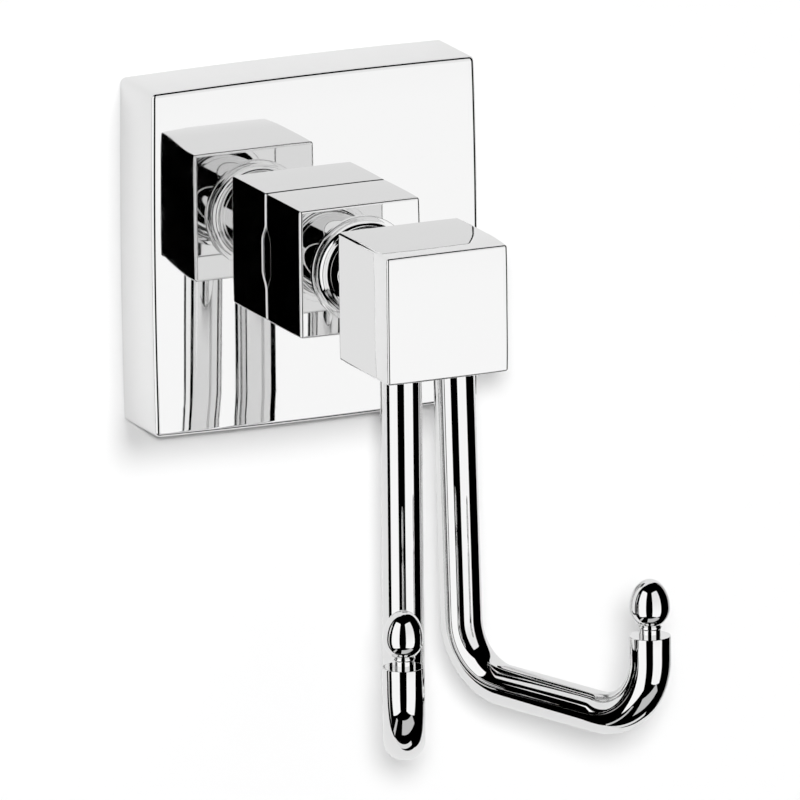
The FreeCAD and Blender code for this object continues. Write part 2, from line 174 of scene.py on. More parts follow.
class PostSettings(bpy.types.PropertyGroup):
    base: length_setting("Base block", 12.0, "Length of the block on the plate")
    neck: length_setting("Neck", 13.0, "Length of the turned neck")
    edge: length_setting("Edge radius", 0.4, "Radius of the square bar's edges")
    roll_width: length_setting("Buffed roll width", 5.0, "Width of the soft roll-off inside each edge")
    roll_depth: length_setting("Buffed roll depth", 0.05, "How far that roll-off falls at the edge")
    crown_width: length_setting("Crown width", 7.0, "How far back the cube's top is crowned")
    crown_depth: length_setting("Crown depth", 0.26, "How far that crown falls at the cube's front")
    neck_diameter: length_setting("Neck diameter", 12.6, "Diameter of the turned waist")
    cove: length_setting("Neck cove", 1.0, "Radius between the waist and its rings")
    ring_diameter: length_setting("Ring diameter", 15.6, "Diameter of the ring at each end of the neck")
    ring_height: length_setting("Ring height", 0.4, "How far the ring stands off its block")
    ring_break: length_setting("Ring edge", 0.1, "Radius of the ring's rim")
    relief_radius: length_setting("Relief radius", 6.0, "Radius of the groove behind the base block")
    relief_depth: length_setting("Relief depth", 1.8, "Depth of the groove behind the base block")
    relief_fade: length_setting("Relief reach", 8.0, "How far forward the base block's mesh follows it")
    bolt_grip: length_setting("Bolt hole", 9.0, "Depth of the threaded hole behind")
    pin_depth: length_setting("Pin hole", 3.0, "Depth of the pin's hole behind")
    socket_depth: length_setting("Socket depth", 9.0, "Depth of the sockets that hold the hooks")


class HookSettings(bpy.types.PropertyGroup):
    rod: length_setting("Rod diameter", 6.0, "Diameter of the bent rod")
    spigot: length_setting("Spigot diameter", 4.0, "Diameter of the spigot inside the cube")
    spacing: length_setting("Stem spacing", 8.3, "Distance between the two stems")
    setback: length_setting("Stem setback", 7.4, "Distance of the stems behind the cube's front")
    reach: length_setting("Reach", 36.5, "Distance from stem to tip, along the arm")
    drop: length_setting("Drop", 46.75, "Height from the cube down to the tip's bend")
    rise: length_setting("Tip rise", 12.9, "Height of the rod's flat end over that bend")
    stem_bend: length_setting("Stem bend", 8.9, "Radius between stem and arm")
    tip_bend: length_setting("Tip bend", 9.5, "Radius between arm and tip")
    lean: angle_setting("Stem lean", 1.5, "Lean of the stem towards its tip")
    slope: angle_setting("Arm slope", 3.0, "Fall of the arm towards its tip")
    splay: angle_setting("Splay", 24.5, "Turn of each hook to its side")
    end_break: length_setting("End edge", 0.12, "Radius of the rod's flat end")
    egg_width: length_setting("Egg width", 5.8, "Largest diameter of the egg")
    egg_top: length_setting("Egg top", 4.15, "Height of the egg over its widest place")
    egg_bottom: length_setting("Egg bottom", 3.0, "Depth of the egg under its widest place")
    egg_height: length_setting("Egg height", 4.1, "Height of the widest place over the rod's end")
    egg_neck: length_setting("Egg neck", 2.7, "Diameter of the groove under the egg")
    band: length_setting("Band diameter", 3.1, "Diameter of the band on the rod's end")
    band_height: length_setting("Band height", 1.0, "Height of that band")
    bead: length_setting("Bead size", 0.66, "Thickness of the bead under the egg")
    bead_height: length_setting("Bead height", 1.27, "Height of the bead over the rod's end")


class FinishSettings(bpy.types.PropertyGroup):
    chrome: FloatVectorProperty(name="Chrome", description="Colour of the polished chrome plate",
                                default=linear("EEEEEE"), subtype="COLOR", size=3, min=0, max=1)
    zinc: FloatVectorProperty(name="Zinc", description="Colour of the bright zinc plate",
                              default=linear("CDD0D3"), subtype="COLOR", size=3, min=0, max=1)
    steel: FloatVectorProperty(name="Steel", description="Colour of the turned steel",
                               default=linear("BBBCBD"), subtype="COLOR", size=3, min=0, max=1)


class StageSettings(bpy.types.PropertyGroup):
    azimuth: angle_setting("Camera azimuth", -24.4, "Where the camera stands round the object")
    elevation: angle_setting("Camera elevation", 14.5, "How far the camera looks down")
    roll: angle_setting("Camera roll", -0.59, "Small tilt of the camera")
    distance: FloatProperty(name="Camera distance", description="Distance to the plate's centre",
                            default=5.0, unit="LENGTH")
    shown: length_setting("Frame width", 114.8, "Width of what the frame shows at the plate")
    aside: length_setting("Aim to the right", 10.57, "Frame's centre, to the right of the post's foot")
    below: length_setting("Aim below", 21.51, "Frame's centre, below the post's foot")
    light: FloatProperty(name="Softbox brightness", default=1.08, min=0,
                         description="Radiance of the softboxes, 1 is white")
    panel_distance: FloatProperty(name="Softbox distance", default=3.0, unit="LENGTH",
                                  description="How far away the softboxes stand")
    card_depth: FloatProperty(name="Card depth", default=1.0, unit="LENGTH",
                              description="How far below the object the low cards lie")


def settings_of(group):
    """The settings of one group on the scene."""
    return getattr(bpy.context.scene, "robe_hook_" + group)


def add_node(tree, kind, settings=None, links=None):
    """Add one node, set its properties or input values, and link its inputs."""
    node = tree.nodes.new(kind)
    for key, value in (settings or {}).items():
        if isinstance(key, str) and hasattr(node, key):
            setattr(node, key, value)
        else:
            node.inputs[key].default_value = value
    for key, socket in (links or {}).items():
        tree.links.new(socket, node.inputs[key])
    return node


def new_material(name):
    """A material with an empty tree and its output node."""
    material = bpy.data.materials.new(name)
    material.use_nodes = True
    tree = material.node_tree
    tree.nodes.clear()
    output = tree.nodes.new("ShaderNodeOutputMaterial")
    return material, tree, output


def metal_surface(tree, output, colour, roughness, normal):
    """A metal on the output, with a varying roughness and a relief."""
    shader = add_node(tree, "ShaderNodeBsdfPrincipled",
                      {"Base Color": (*colour, 1), "Metallic": 1.0},
                      {"Roughness": roughness, "Normal": normal})
    tree.links.new(shader.outputs["BSDF"], output.inputs["Surface"])


def polished_chrome(name):
    """Bright chrome over nickel on buffed brass."""
    # Electroplated and hand buffed: a clean mirror whose image wavers very slightly where the
    # wheel has followed the form, with a faint haze of fine wipe marks.
    waver_size = 7.0 * MM
    waver_height = 0.0022 * MM
    haze_size = 3.0 * MM
    haze_start, haze_full = 0.35, 0.75
    clearest, haziest = 0.012, 0.035
    material, tree, output = new_material(name)
    place = add_node(tree, "ShaderNodeTexCoord").outputs["Object"]
    waver = add_node(tree, "ShaderNodeTexNoise", {"Scale": 1 / waver_size, "Detail": 1.0},
                     {"Vector": place})
    relief = add_node(tree, "ShaderNodeBump", {"Strength": 1.0, "Distance": waver_height},
                      {"Height": waver.outputs["Fac"]})
    haze = add_node(tree, "ShaderNodeTexNoise", {"Scale": 1 / haze_size, "Detail": 3.0},
                    {"Vector": place})
    roughness = add_node(tree, "ShaderNodeMapRange", {"From Min": haze_start, "From Max": haze_full,
                                                      "To Min": clearest, "To Max": haziest},
                         {"Value": haze.outputs["Fac"]})
    metal_surface(tree, output, settings_of("finish").chrome, roughness.outputs["Result"],
                  relief.outputs["Normal"])
    return material


def zinc_plated_sheet(name):
    """Rolled steel sheet with a bright zinc plate."""
    # Cold rolled, folded and barrel plated: drawn-out streaks along the roll, a slightly cloudy
    # gloss and small spangle that breaks up the reflections.
    streak_width = 0.35 * MM
    streak_length = 14.0 * MM
    spangle_size = 1.6 * MM
    spangle_share = 0.35
    cloud_start, cloud_full = 0.3, 1.0
    glossiest, dullest = 0.22, 0.46
    streak_strength, streak_height = 0.4, 0.004 * MM
    material, tree, output = new_material(name)
    place = add_node(tree, "ShaderNodeTexCoord").outputs["Object"]
    drawn = add_node(tree, "ShaderNodeMapping",
                     {"Scale": (1 / streak_length, 1 / streak_width, 1 / streak_width)},
                     {"Vector": place})
    streaks = add_node(tree, "ShaderNodeTexNoise", {"Scale": 1.0, "Detail": 4.0},
                       {"Vector": drawn.outputs["Vector"]})
    spangle = add_node(tree, "ShaderNodeTexVoronoi", {"Scale": 1 / spangle_size}, {"Vector": place})
    cloud = add_node(tree, "ShaderNodeMath", {"operation": "MULTIPLY_ADD", 1: spangle_share},
                     {0: spangle.outputs["Distance"], 2: streaks.outputs["Fac"]})
    roughness = add_node(tree, "ShaderNodeMapRange", {"From Min": cloud_start, "From Max": cloud_full,
                                                      "To Min": glossiest, "To Max": dullest},
                         {"Value": cloud.outputs["Value"]})
    relief = add_node(tree, "ShaderNodeBump", {"Strength": streak_strength, "Distance": streak_height},
                      {"Height": streaks.outputs["Fac"]})
    metal_surface(tree, output, settings_of("finish").zinc, roughness.outputs["Result"],
                  relief.outputs["Normal"])
    return material


def turned_steel(name):
    """Plain steel from the lathe."""
    # Machined and lightly oiled: rings left by the tool, and a soft, uneven sheen. The real rings
    # are about 0.2 mm apart and are drawn coarser, so that they show. The wave texture runs
    # through 20 radians in one unit of length.
    ring_pitch = 1.131 * MM
    wave_radians = 20
    ring_waver = 0.6
    ring_strength, ring_height = 0.35, 0.006 * MM
    stain_size = 1.2 * MM
    stain_start, stain_full = 0.3, 0.7
    glossiest, dullest = 0.24, 0.42
    material, tree, output = new_material(name)
    place = add_node(tree, "ShaderNodeTexCoord").outputs["Object"]
    rings = add_node(tree, "ShaderNodeTexWave",
                     {"wave_type": "RINGS", "rings_direction": "Y", "Distortion": ring_waver,
                      "Scale": 2 * math.pi / (wave_radians * ring_pitch)}, {"Vector": place})
    stain = add_node(tree, "ShaderNodeTexNoise", {"Scale": 1 / stain_size, "Detail": 3.0},
                     {"Vector": place})
    roughness = add_node(tree, "ShaderNodeMapRange", {"From Min": stain_start, "From Max": stain_full,
                                                      "To Min": glossiest, "To Max": dullest},
                         {"Value": stain.outputs["Fac"]})
    relief = add_node(tree, "ShaderNodeBump", {"Strength": ring_strength, "Distance": ring_height},
                      {"Height": rings.outputs["Fac"]})
    metal_surface(tree, output, settings_of("finish").steel, roughness.outputs["Result"],
                  relief.outputs["Normal"])
    return material


# For each slot of the record, the material's name and the function that makes it
FINISHES = {
    "polished_chrome": ("polished_chrome_plate", polished_chrome),
    "zinc_plated_steel": ("zinc_plated_sheet", zinc_plated_sheet),
    "fastener_steel": ("turned_steel", turned_steel),
}


def finish(slot):
    """The material for one of the record's slots, made when it is first asked for."""
    name, make = FINISHES[slot]
    return bpy.data.materials.get(name) or make(name)


def new_mesh_object(name, points, faces):
    """A closed mesh object whose faces point outwards."""
    mesh = bpy.data.meshes.new(name)
    mesh.from_pydata([tuple(p) for p in points], [], faces)
    work = bmesh.new()
    work.from_mesh(mesh)
    bmesh.ops.remove_doubles(work, verts=work.verts, dist=MERGE_DISTANCE)
    bmesh.ops.recalc_face_normals(work, faces=work.faces)
    work.to_mesh(mesh)
    work.free()
    piece = bpy.data.objects.new(name, mesh)
    bpy.context.collection.objects.link(piece)
    return piece


def smooth_to_creases(piece):
    """Shade smooth, with a crease wherever two faces meet at a marked angle."""
    work = bmesh.new()
    work.from_mesh(piece.data)
    for face in work.faces:
        face.smooth = True
    for edge in work.edges:
        edge.smooth = len(edge.link_faces) == 2 and edge.calc_face_angle() < CREASE_ANGLE
    work.to_mesh(piece.data)
    work.free()


def cut_holes(piece, holes):
    """Cut round holes, each given by its start, its direction, its depth and its radius."""
    for start, direction, depth, radius in holes:
        work = bmesh.new()
        turn = Vector((0, 0, 1)).rotation_difference(direction).to_matrix().to_4x4()
        place = Matrix.Translation(start + direction * depth / 2) @ turn
        bmesh.ops.create_cone(work, cap_ends=True, segments=CUTTER_STEPS, depth=depth,
                              radius1=radius, radius2=radius, matrix=place)
        mesh = bpy.data.meshes.new("hole")
        work.to_mesh(mesh)
        work.free()
        cutter = bpy.data.objects.new("hole", mesh)
        bpy.context.collection.objects.link(cutter)
        cut = piece.modifiers.new("hole", "BOOLEAN")
        cut.operation = "DIFFERENCE"
        cut.solver = "EXACT"
        cut.object = cutter
        bpy.context.view_layer.update()
        result = piece.evaluated_get(bpy.context.evaluated_depsgraph_get())
        shape = bpy.data.meshes.new_from_object(result)
        piece.modifiers.clear()
        piece.data = shape
        bpy.data.objects.remove(cutter)


def finish_piece(piece, slot, node):
    """Give a piece its finish, and let it stand for its solid."""
    piece.data.materials.clear()
    piece.data.materials.append(finish(slot))
    smooth_to_creases(piece)
    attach(piece, "root")
    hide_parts(node)


def join_rings(rings):
    """Points and faces of a closed skin over rings that have equally many points."""
    count = len(rings[0])
    points = [p for ring in rings for p in ring]
    faces = []
    for start in range(0, (len(rings) - 1) * count, count):
        for i in range(count):
            j = (i + 1) % count
            faces.append((start + i, start + j, start + count + j, start + count + i))
    last = (len(rings) - 1) * count
    faces.append(tuple(reversed(range(count))))
    faces.append(tuple(range(last, last + count)))
    return points, faces


def roll_off(inset, width, depth):
    """How far a buffed face has fallen at a distance inside its edge."""
    return depth * max(0.0, 1 - inset / width) ** 2


def square_ring(half, inset, radius, along, y):
    """A rounded square parallel to the wall, with the same number of points at any size."""
    core = half - inset - radius
    ring = []
    for quarter in range(4):
        turn = Matrix.Rotation(quarter * math.pi / 2, 2)
        for share in along:
            ring.append(turn @ Vector((half - inset, share * core)))
        for step in range(1, CORNER_STEPS):
            angle = step / CORNER_STEPS * math.pi / 2
            bend = Vector((math.cos(angle), math.sin(angle))) * radius
            ring.append(turn @ (Vector((core, core)) + bend))
    return [Vector((p.x, y, p.y)) for p in ring]


def plate_insets(settings):
    """Where the mirror face gets a ring of points, from its flat middle to its edge."""
    edge, width = settings.edge, settings.roll_width
    return [edge + width * (1 - step / ROLL_STEPS) for step in range(ROLL_STEPS)] + [edge + GUARD]


def build_wall_plate(settings):
    """The cover: a mirror face with a buffed edge, bowed sides and a hollow behind."""
    depth = -PLATE_LOW.y
    half = PLATE_HIGH.x - settings.bow
    corner, edge, rear = settings.corner, settings.edge, settings.rear_edge
    least_corner = 0.12 * MM
    rear_middle = rear * 0.3
    # The cutters start and end this far outside the metal.
    past = MM
    lock_past, lock_play = 1.5 * MM, 0.02 * MM
    # Points along each side stand closer together in its end parts, each a quarter of half a side.
    end_share, end_steps, middle_steps = 0.25, 7, 16
    middle = 1 - end_share
    along = [-1 + step / end_steps * end_share for step in range(end_steps)]
    along += [-middle + step / middle_steps * 2 * middle for step in range(middle_steps + 1)]
    along += [middle + (step + 1) / end_steps * end_share for step in range(end_steps)]

    def outer(inset, y):
        return square_ring(half, inset, max(corner - inset, least_corner), along, y)

    rings = [outer(inset, -depth) for inset in plate_insets(settings)]
    for step in range(EDGE_STEPS * 2 + 1):
        angle = step / (EDGE_STEPS * 2) * math.pi / 2
        rings.append(outer(edge * (1 - math.sin(angle)), -depth + edge * (1 - math.cos(angle))))
    rings.append(outer(0, -depth + edge + GUARD))
    rings.append(outer(0, -rear - GUARD))
    rings += [outer(0, -rear), outer(rear_middle, -rear_middle), outer(rear, 0),
              outer(rear + GUARD, 0)]
    inner = settings.wall
    floor = -(depth - settings.face)
    hollow = settings.hollow_corner
    for inset, y in ((inner - GUARD, 0), (inner, 0), (inner, -GUARD), (inner, floor + GUARD),
                     (inner, floor), (inner + GUARD, floor), (inner + hollow * 2, floor)):
        rings.append(square_ring(half, inset, hollow, along, y))
    for ring in rings:
        for p in ring:
            fall = roll_off(half - abs(p.x), settings.roll_width + edge, settings.roll_depth)
            fall += roll_off(half - abs(p.z), settings.roll_width + edge, settings.roll_depth)
            p.y += fall * (p.y / -depth) ** 2
            if max(abs(p.x), abs(p.z)) > half - inner / 2:
                swell = settings.bow / half
                p.x, p.z = (p.x * (1 + swell * (1 - min(1, (p.z / half) ** 2))),
                            p.z * (1 + swell * (1 - min(1, (p.x / half) ** 2))))
    piece = new_mesh_object("mirror_wall_plate", *join_rings(rings))
    towards_front, up = Vector((0, -1, 0)), Vector((0, 0, 1))
    bolt_radius = BOLT_RADIUS + settings.hole_clearance / 2
    pin = (PIN_LOW + PIN_HIGH) / 2
    lock = (LOCK_LOW + LOCK_HIGH) / 2
    through = settings.face + 2 * past
    cut_holes(piece, [
        (Vector((AXIS.x, floor + past, AXIS.z)), towards_front, through, bolt_radius),
        (Vector((pin.x, floor + past, pin.z)), towards_front, through,
         (PIN_HIGH.x - PIN_LOW.x) / 2),
        (Vector((lock.x, lock.y, -half - past)), up, settings.wall + lock_past,
         (LOCK_HIGH.x - LOCK_LOW.x) / 2 + lock_play),
    ])
    return piece


def block_marks(half, edge, width):
    """Coordinates across one side of a soft-edged block, close together where it curves."""
    least = 0.2 * MM
    bend = [half - edge + edge * math.tan(step / EDGE_STEPS * math.pi / 4)
            for step in range(EDGE_STEPS + 1)]
    roll = [half - edge - GUARD - (width - edge) * step / ROLL_STEPS
            for step in range(ROLL_STEPS + 1)]
    positive = sorted([value for value in roll if value > least] + bend)
    return [-value for value in reversed(positive)] + positive


def soft_block(name, low, high, settings, warp):
    """A length of square bar with rounded edges and faces that fall away towards them."""
    centre = (low + high) / 2
    halves = (high - low) / 2
    edge, width, depth = settings.edge, settings.roll_width, settings.roll_depth
    marks = [block_marks(halves[axis], edge, settings.crown_width) for axis in range(3)]
    points, faces = [], []
    for axis in range(3):
        first, second = (axis + 1) % 3, (axis + 2) % 3
        for sign in (-1, 1):
            start = len(points)
            for a in marks[first]:
                for b in marks[second]:
                    p = Vector((0, 0, 0))
                    p[axis], p[first], p[second] = sign * halves[axis], a, b
                    points.append(p)
            rows, columns = len(marks[first]), len(marks[second])
            for i in range(rows - 1):
                for j in range(columns - 1):
                    corner = start + i * columns + j
                    faces.append((corner, corner + 1, corner + columns + 1, corner + columns))
    for p in points:
        core = Vector([max(-halves[i] + edge, min(halves[i] - edge, p[i])) for i in range(3)])
        away = p - core
        if away.length > 0:
            p[:] = core + away.normalized() * edge
        falls = [roll_off(halves[i] - abs(p[i]), width, depth) for i in range(3)]
        total = sum(falls)
        rounded = p.copy()
        for i in range(3):
            if i != 1 or rounded.y < 0:
                p[i] = rounded[i] * (1 - (total - falls[i]) / halves[i])
        warp(p, halves)
        p += centre
    return new_mesh_object(name, points, faces)


def turned(name, profile, steps):
    """A closed form turned about the Y axis from pairs of distance along it and radius."""
    rings = []
    for y, radius in profile:
        rings.append([Vector((AXIS.x + radius * math.cos(2 * math.pi * i / steps), y,
                              AXIS.z + radius * math.sin(2 * math.pi * i / steps)))
                      for i in range(steps)])
    return new_mesh_object(name, *join_rings(rings))


def neck_profile(settings, base_front, cube_back):
    """Outline of the neck from front to back: ring, cove, waist, cove and ring."""
    ring, rim = settings.ring_diameter / 2, settings.ring_break
    waist, cove, height = settings.neck_diameter / 2, settings.cove, settings.ring_height
    sunk = 0.25 * MM
    half = [(-sunk, ring - GUARD), (0, ring), (height - rim - GUARD, ring)]
    for step in range(RIM_STEPS + 1):
        angle = step / RIM_STEPS * math.pi / 2
        half.append((height - rim + rim * math.sin(angle), ring - rim + rim * math.cos(angle)))
    half.append((height, waist + cove + GUARD))
    for step in range(EDGE_STEPS * 2 + 1):
        angle = step / (EDGE_STEPS * 2) * math.pi / 2
        half.append((height + cove * (1 - math.cos(angle)), waist + cove * (1 - math.sin(angle))))
    half.append((height + cove + GUARD, waist))
    front = [(base_front - y, radius) for y, radius in half]
    back = [(cube_back + y, radius) for y, radius in reversed(half)]
    return front + back


def build_post(settings, hook):
    """Square bar turned down to a neck between its base block and its cube."""
    seat, front = POST_HIGH.y, POST_LOW.y
    half = (POST_HIGH.x - POST_LOW.x) / 2
    past = MM
    low = Vector((AXIS.x - half, 0, AXIS.z - half))
    high = Vector((AXIS.x + half, 0, AXIS.z + half))
    base_front = seat - settings.base
    cube_back = base_front - settings.neck
    radius, deep = settings.relief_radius, settings.relief_depth

    def relief(p, halves):
        """Draws the back of the base block forward along a round groove."""
        from_axis = math.sqrt(max(0, radius ** 2 - p.z ** 2)) - (radius - deep)
        behind = max(0, 1 - (halves.y - p.y) / settings.relief_fade)
        p.y -= max(0, from_axis) * behind

    def crown(p, halves):
        """Lets the cube's top fall away towards its front."""
        if p.z > 0:
            p.z *= 1 - roll_off(halves.y + p.y, settings.crown_width, settings.crown_depth) / halves.z

    base = soft_block("base", low + Vector((0, base_front, 0)), high + Vector((0, seat, 0)),
                      settings, relief)
    cube = soft_block("cube", low + Vector((0, front, 0)), high + Vector((0, cube_back, 0)),
                      settings, crown)
    neck = turned("neck", neck_profile(settings, base_front, cube_back), NECK_STEPS)
    towards_front, up = Vector((0, -1, 0)), Vector((0, 0, 1))
    pin = (PIN_LOW + PIN_HIGH) / 2
    cut_holes(base, [
        (Vector((AXIS.x, seat + past, AXIS.z)), towards_front, settings.bolt_grip + past, BOLT_RADIUS),
        (Vector((pin.x, seat + past, pin.z)), towards_front, settings.pin_depth + past,
         (PIN_HIGH.x - PIN_LOW.x) / 2),
    ])
    cut_holes(cube, [
        (Vector((AXIS.x + side * hook.spacing / 2, front + hook.setback, low.z - past)), up,
         settings.socket_depth + past, hook.spigot / 2) for side in (-1, 1)])
    work = bmesh.new()
    for part in (base, neck, cube):
        work.from_mesh(part.data)
    mesh = bpy.data.meshes.new("square_post")
    work.to_mesh(mesh)
    work.free()
    for part in (base, neck, cube):
        bpy.data.objects.remove(part)
    piece = bpy.data.objects.new("square_post", mesh)
    bpy.context.collection.objects.link(piece)
    return piece


def hook_line(hook):
    """Centre line of a hook as pairs of distance out and height, with the rod's direction."""
    lean, slope = hook.lean, hook.slope
    down_stem = Vector((math.sin(lean), -math.cos(lean)))
    off_stem = Vector((math.cos(lean), math.sin(lean)))
    off_arm = Vector((math.sin(slope), math.cos(slope)))
    tip_centre = Vector((hook.reach - hook.tip_bend, hook.tip_bend - hook.drop))
    arm_end = tip_centre - off_arm * hook.tip_bend
    stem_length = (math.sin(lean + slope) - 1) * hook.stem_bend - arm_end.dot(off_arm)
    stem_end = down_stem * (stem_length / math.cos(lean + slope))
    stem_centre = stem_end + off_stem * hook.stem_bend
    arm_start = stem_centre - off_arm * hook.stem_bend
    line = []
    stem_parts, arm_parts = 12, 10
    stem_heading = lean - math.pi / 2
    for step in range(stem_parts):
        line.append((stem_end * step / stem_parts, stem_heading))
    for step in range(BEND_STEPS + 1):
        heading = stem_heading + (-slope - stem_heading) * step / BEND_STEPS
        offset = Vector((math.sin(heading), -math.cos(heading))) * hook.stem_bend
        line.append((stem_centre + offset, heading))
    for step in range(1, arm_parts):
        line.append((arm_start.lerp(arm_end, step / arm_parts), -slope))
    for step in range(BEND_STEPS + 1):
        heading = -slope + (math.pi / 2 + slope) * step / BEND_STEPS
        offset = Vector((math.sin(heading), -math.cos(heading))) * hook.tip_bend
        line.append((tip_centre + offset, heading))
    return line


def finial_profile(hook):
    """Outline of the turned end: pairs of height over the rod's flat end and radius."""
    rod, rim = hook.rod / 2, hook.end_break
    neck, band, bead = hook.egg_neck / 2, hook.band / 2, hook.bead / 2
    width = hook.egg_width / 2
    # The band ends a part of the bead's radius under its top, and the fine points start from there.
    band_end = hook.band_height - bead * 0.3
    fine_start = hook.band_height - bead * 0.25
    fine_steps = 26
    # The egg's pole is a tiny flat.
    pole_height, pole_width = 1 - 1e-4, 0.015

    def radius_at(height):
        found = neck
        if height < hook.band_height:
            found = band
        from_bead = abs(height - hook.bead_height)
        if from_bead < bead:
            found = max(found, neck + math.sqrt(bead ** 2 - from_bead ** 2))
        under = (hook.egg_height - height) / hook.egg_bottom
        if under < 1:
            found = max(found, width * math.sqrt(1 - under ** 2))
        return found

    profile = []
    for step in range(RIM_STEPS + 1):
        angle = step / RIM_STEPS * math.pi / 2
        profile.append((-rim + rim * math.sin(angle), rod - rim + rim * math.cos(angle)))
    profile += [(0, rod - rim - GUARD), (0, band + GUARD), (0, band), (GUARD, band)]
    profile.append((band_end, band))
    egg_start = hook.bead_height + bead
    for step in range(fine_steps + 1):
        height = fine_start + (egg_start - fine_start) * step / fine_steps
        profile.append((height, radius_at(height)))
    start_angle = math.asin((egg_start - hook.egg_height) / hook.egg_bottom)
    for step in range(1, EGG_STEPS + 1):
        angle = start_angle * (1 - step / EGG_STEPS)
        profile.append((hook.egg_height + hook.egg_bottom * math.sin(angle), width * math.cos(angle)))
    for step in range(1, EGG_STEPS):
        angle = step / EGG_STEPS * math.pi / 2
        profile.append((hook.egg_height + hook.egg_top * math.sin(angle), width * math.cos(angle)))
    profile.append((hook.egg_height + hook.egg_top * pole_height, width * pole_width))
    return profile


def build_hook(name, side, hook, post):
    """One rod, bent twice, with a spigot in the cube and a turned egg on its tip."""
    away = Vector((side * math.sin(hook.splay), -math.cos(hook.splay), 0))
    across = away.cross(Vector((0, 0, 1)))
    root = Vector((AXIS.x + side * hook.spacing / 2, POST_LOW.y + hook.setback, POST_LOW.z))
    rod, spigot = hook.rod / 2, hook.spigot / 2
    upwards, downwards = math.pi / 2, -math.pi / 2
    spigot_break = 0.3 * MM
    stations = [(Vector((0, post.socket_depth - spigot_break)), downwards, spigot - spigot_break),
                (Vector((0, post.socket_depth - 2 * spigot_break)), downwards, spigot),
                (Vector((0, GUARD)), downwards, spigot),
                (Vector((0, 0)), downwards, spigot),
                (Vector((0, 0)), downwards, rod - GUARD),
                (Vector((0, 0)), downwards, rod)]
    stations += [(place, heading, rod) for place, heading in hook_line(hook)[1:]]
    rod_end = Vector((hook.reach, hook.rise - hook.drop))
    halfway = stations[-1][0].lerp(rod_end, 0.5)
    stations.append((halfway, upwards, rod))
    stations += [(rod_end + Vector((0, height)), upwards, radius)
                 for height, radius in finial_profile(hook)]
    rings = []
    for place, heading, radius in stations:
        centre = root + away * place.x + Vector((0, 0, place.y))
        upright = -away * math.sin(heading) + Vector((0, 0, math.cos(heading)))
        rings.append([centre + (across * math.cos(2 * math.pi * i / RING_STEPS)
                                + upright * math.sin(2 * math.pi * i / RING_STEPS)) * radius
                      for i in range(RING_STEPS)])
    return new_mesh_object(name, *join_rings(rings))


def towards(azimuth, elevation):
    """The direction of a place in the studio: azimuth 0 is in front, and positive to the right."""
    return Vector((math.sin(azimuth) * math.cos(elevation), -math.cos(azimuth) * math.cos(elevation),
                   math.sin(elevation)))


def only_mirrored(card):
    """Keep a card out of every ray but the ones that the polished metal sends out."""
    card.visible_camera = False
    card.visible_diffuse = False
    card.visible_shadow = False
    card.visible_transmission = False
    card.visible_volume_scatter = False


def card_material(name, below, above, low, high):
    """Glowing card whose level fades from its lower to its upper part."""
    material, tree, output = new_material(name)
    place = add_node(tree, "ShaderNodeTexCoord").outputs["Object"]
    parts = add_node(tree, "ShaderNodeSeparateXYZ", links={0: place})
    level = add_node(tree, "ShaderNodeMapRange",
                     {"From Min": low, "From Max": high, "To Min": below, "To Max": above},
                     {"Value": parts.outputs["Z"]})
    glow = add_node(tree, "ShaderNodeEmission", {"Color": (1, 1, 1, 1)},
                    {"Strength": level.outputs["Result"]})
    tree.links.new(glow.outputs[0], output.inputs["Surface"])
    return material


def flat_card(name, corners, material):
    """One flat four-cornered card."""
    mesh = bpy.data.meshes.new(name)
    mesh.from_pydata([tuple(corner) for corner in corners], [], [(0, 1, 2, 3)])
    mesh.materials.append(material)
    card = bpy.data.objects.new(name, mesh)
    bpy.context.collection.objects.link(card)
    return card


def softbox(name, azimuths, heights, top_share):
    """A tall white panel far away in front, given by the angles under which the object sees it."""
    stage = settings_of("stage")
    distance = stage.panel_distance
    left, right = (stage.azimuth + math.radians(angle) for angle in azimuths)
    low, high = (math.radians(angle) for angle in heights)
    fade = distance * math.tan(stage.elevation)
    material = card_material(name + "_cloth", stage.light, stage.light * top_share, -fade, fade)
    middle = (left + right) / 2
    half = distance * math.tan((right - left) / 2)
    outwards, aside = towards(middle, 0), Vector((math.cos(middle), math.sin(middle), 0))
    centre = STUDIO_CENTRE + outwards * distance
    corners = [centre + aside * half * side + Vector((0, 0, distance * math.tan(angle)))
               for side, angle in ((-1, low), (1, low), (1, high), (-1, high))]
    only_mirrored(flat_card(name, corners, material))


def low_card(name, right, near, level):
    """A pale card lying under the object, given by its reach to the right and towards the camera."""
    stage = settings_of("stage")
    aside = Vector((math.cos(stage.azimuth), math.sin(stage.azimuth), 0))
    outwards = towards(stage.azimuth, 0)
    centre = STUDIO_CENTRE - Vector((0, 0, stage.card_depth))
    places = ((right[0], near[0]), (right[1], near[0]), (right[1], near[1]), (right[0], near[1]))
    corners = [centre + (aside * a + outwards * b) * stage.card_depth for a, b in places]
    only_mirrored(flat_card(name, corners, card_material(name + "_paper", level, level, 0, 1)))


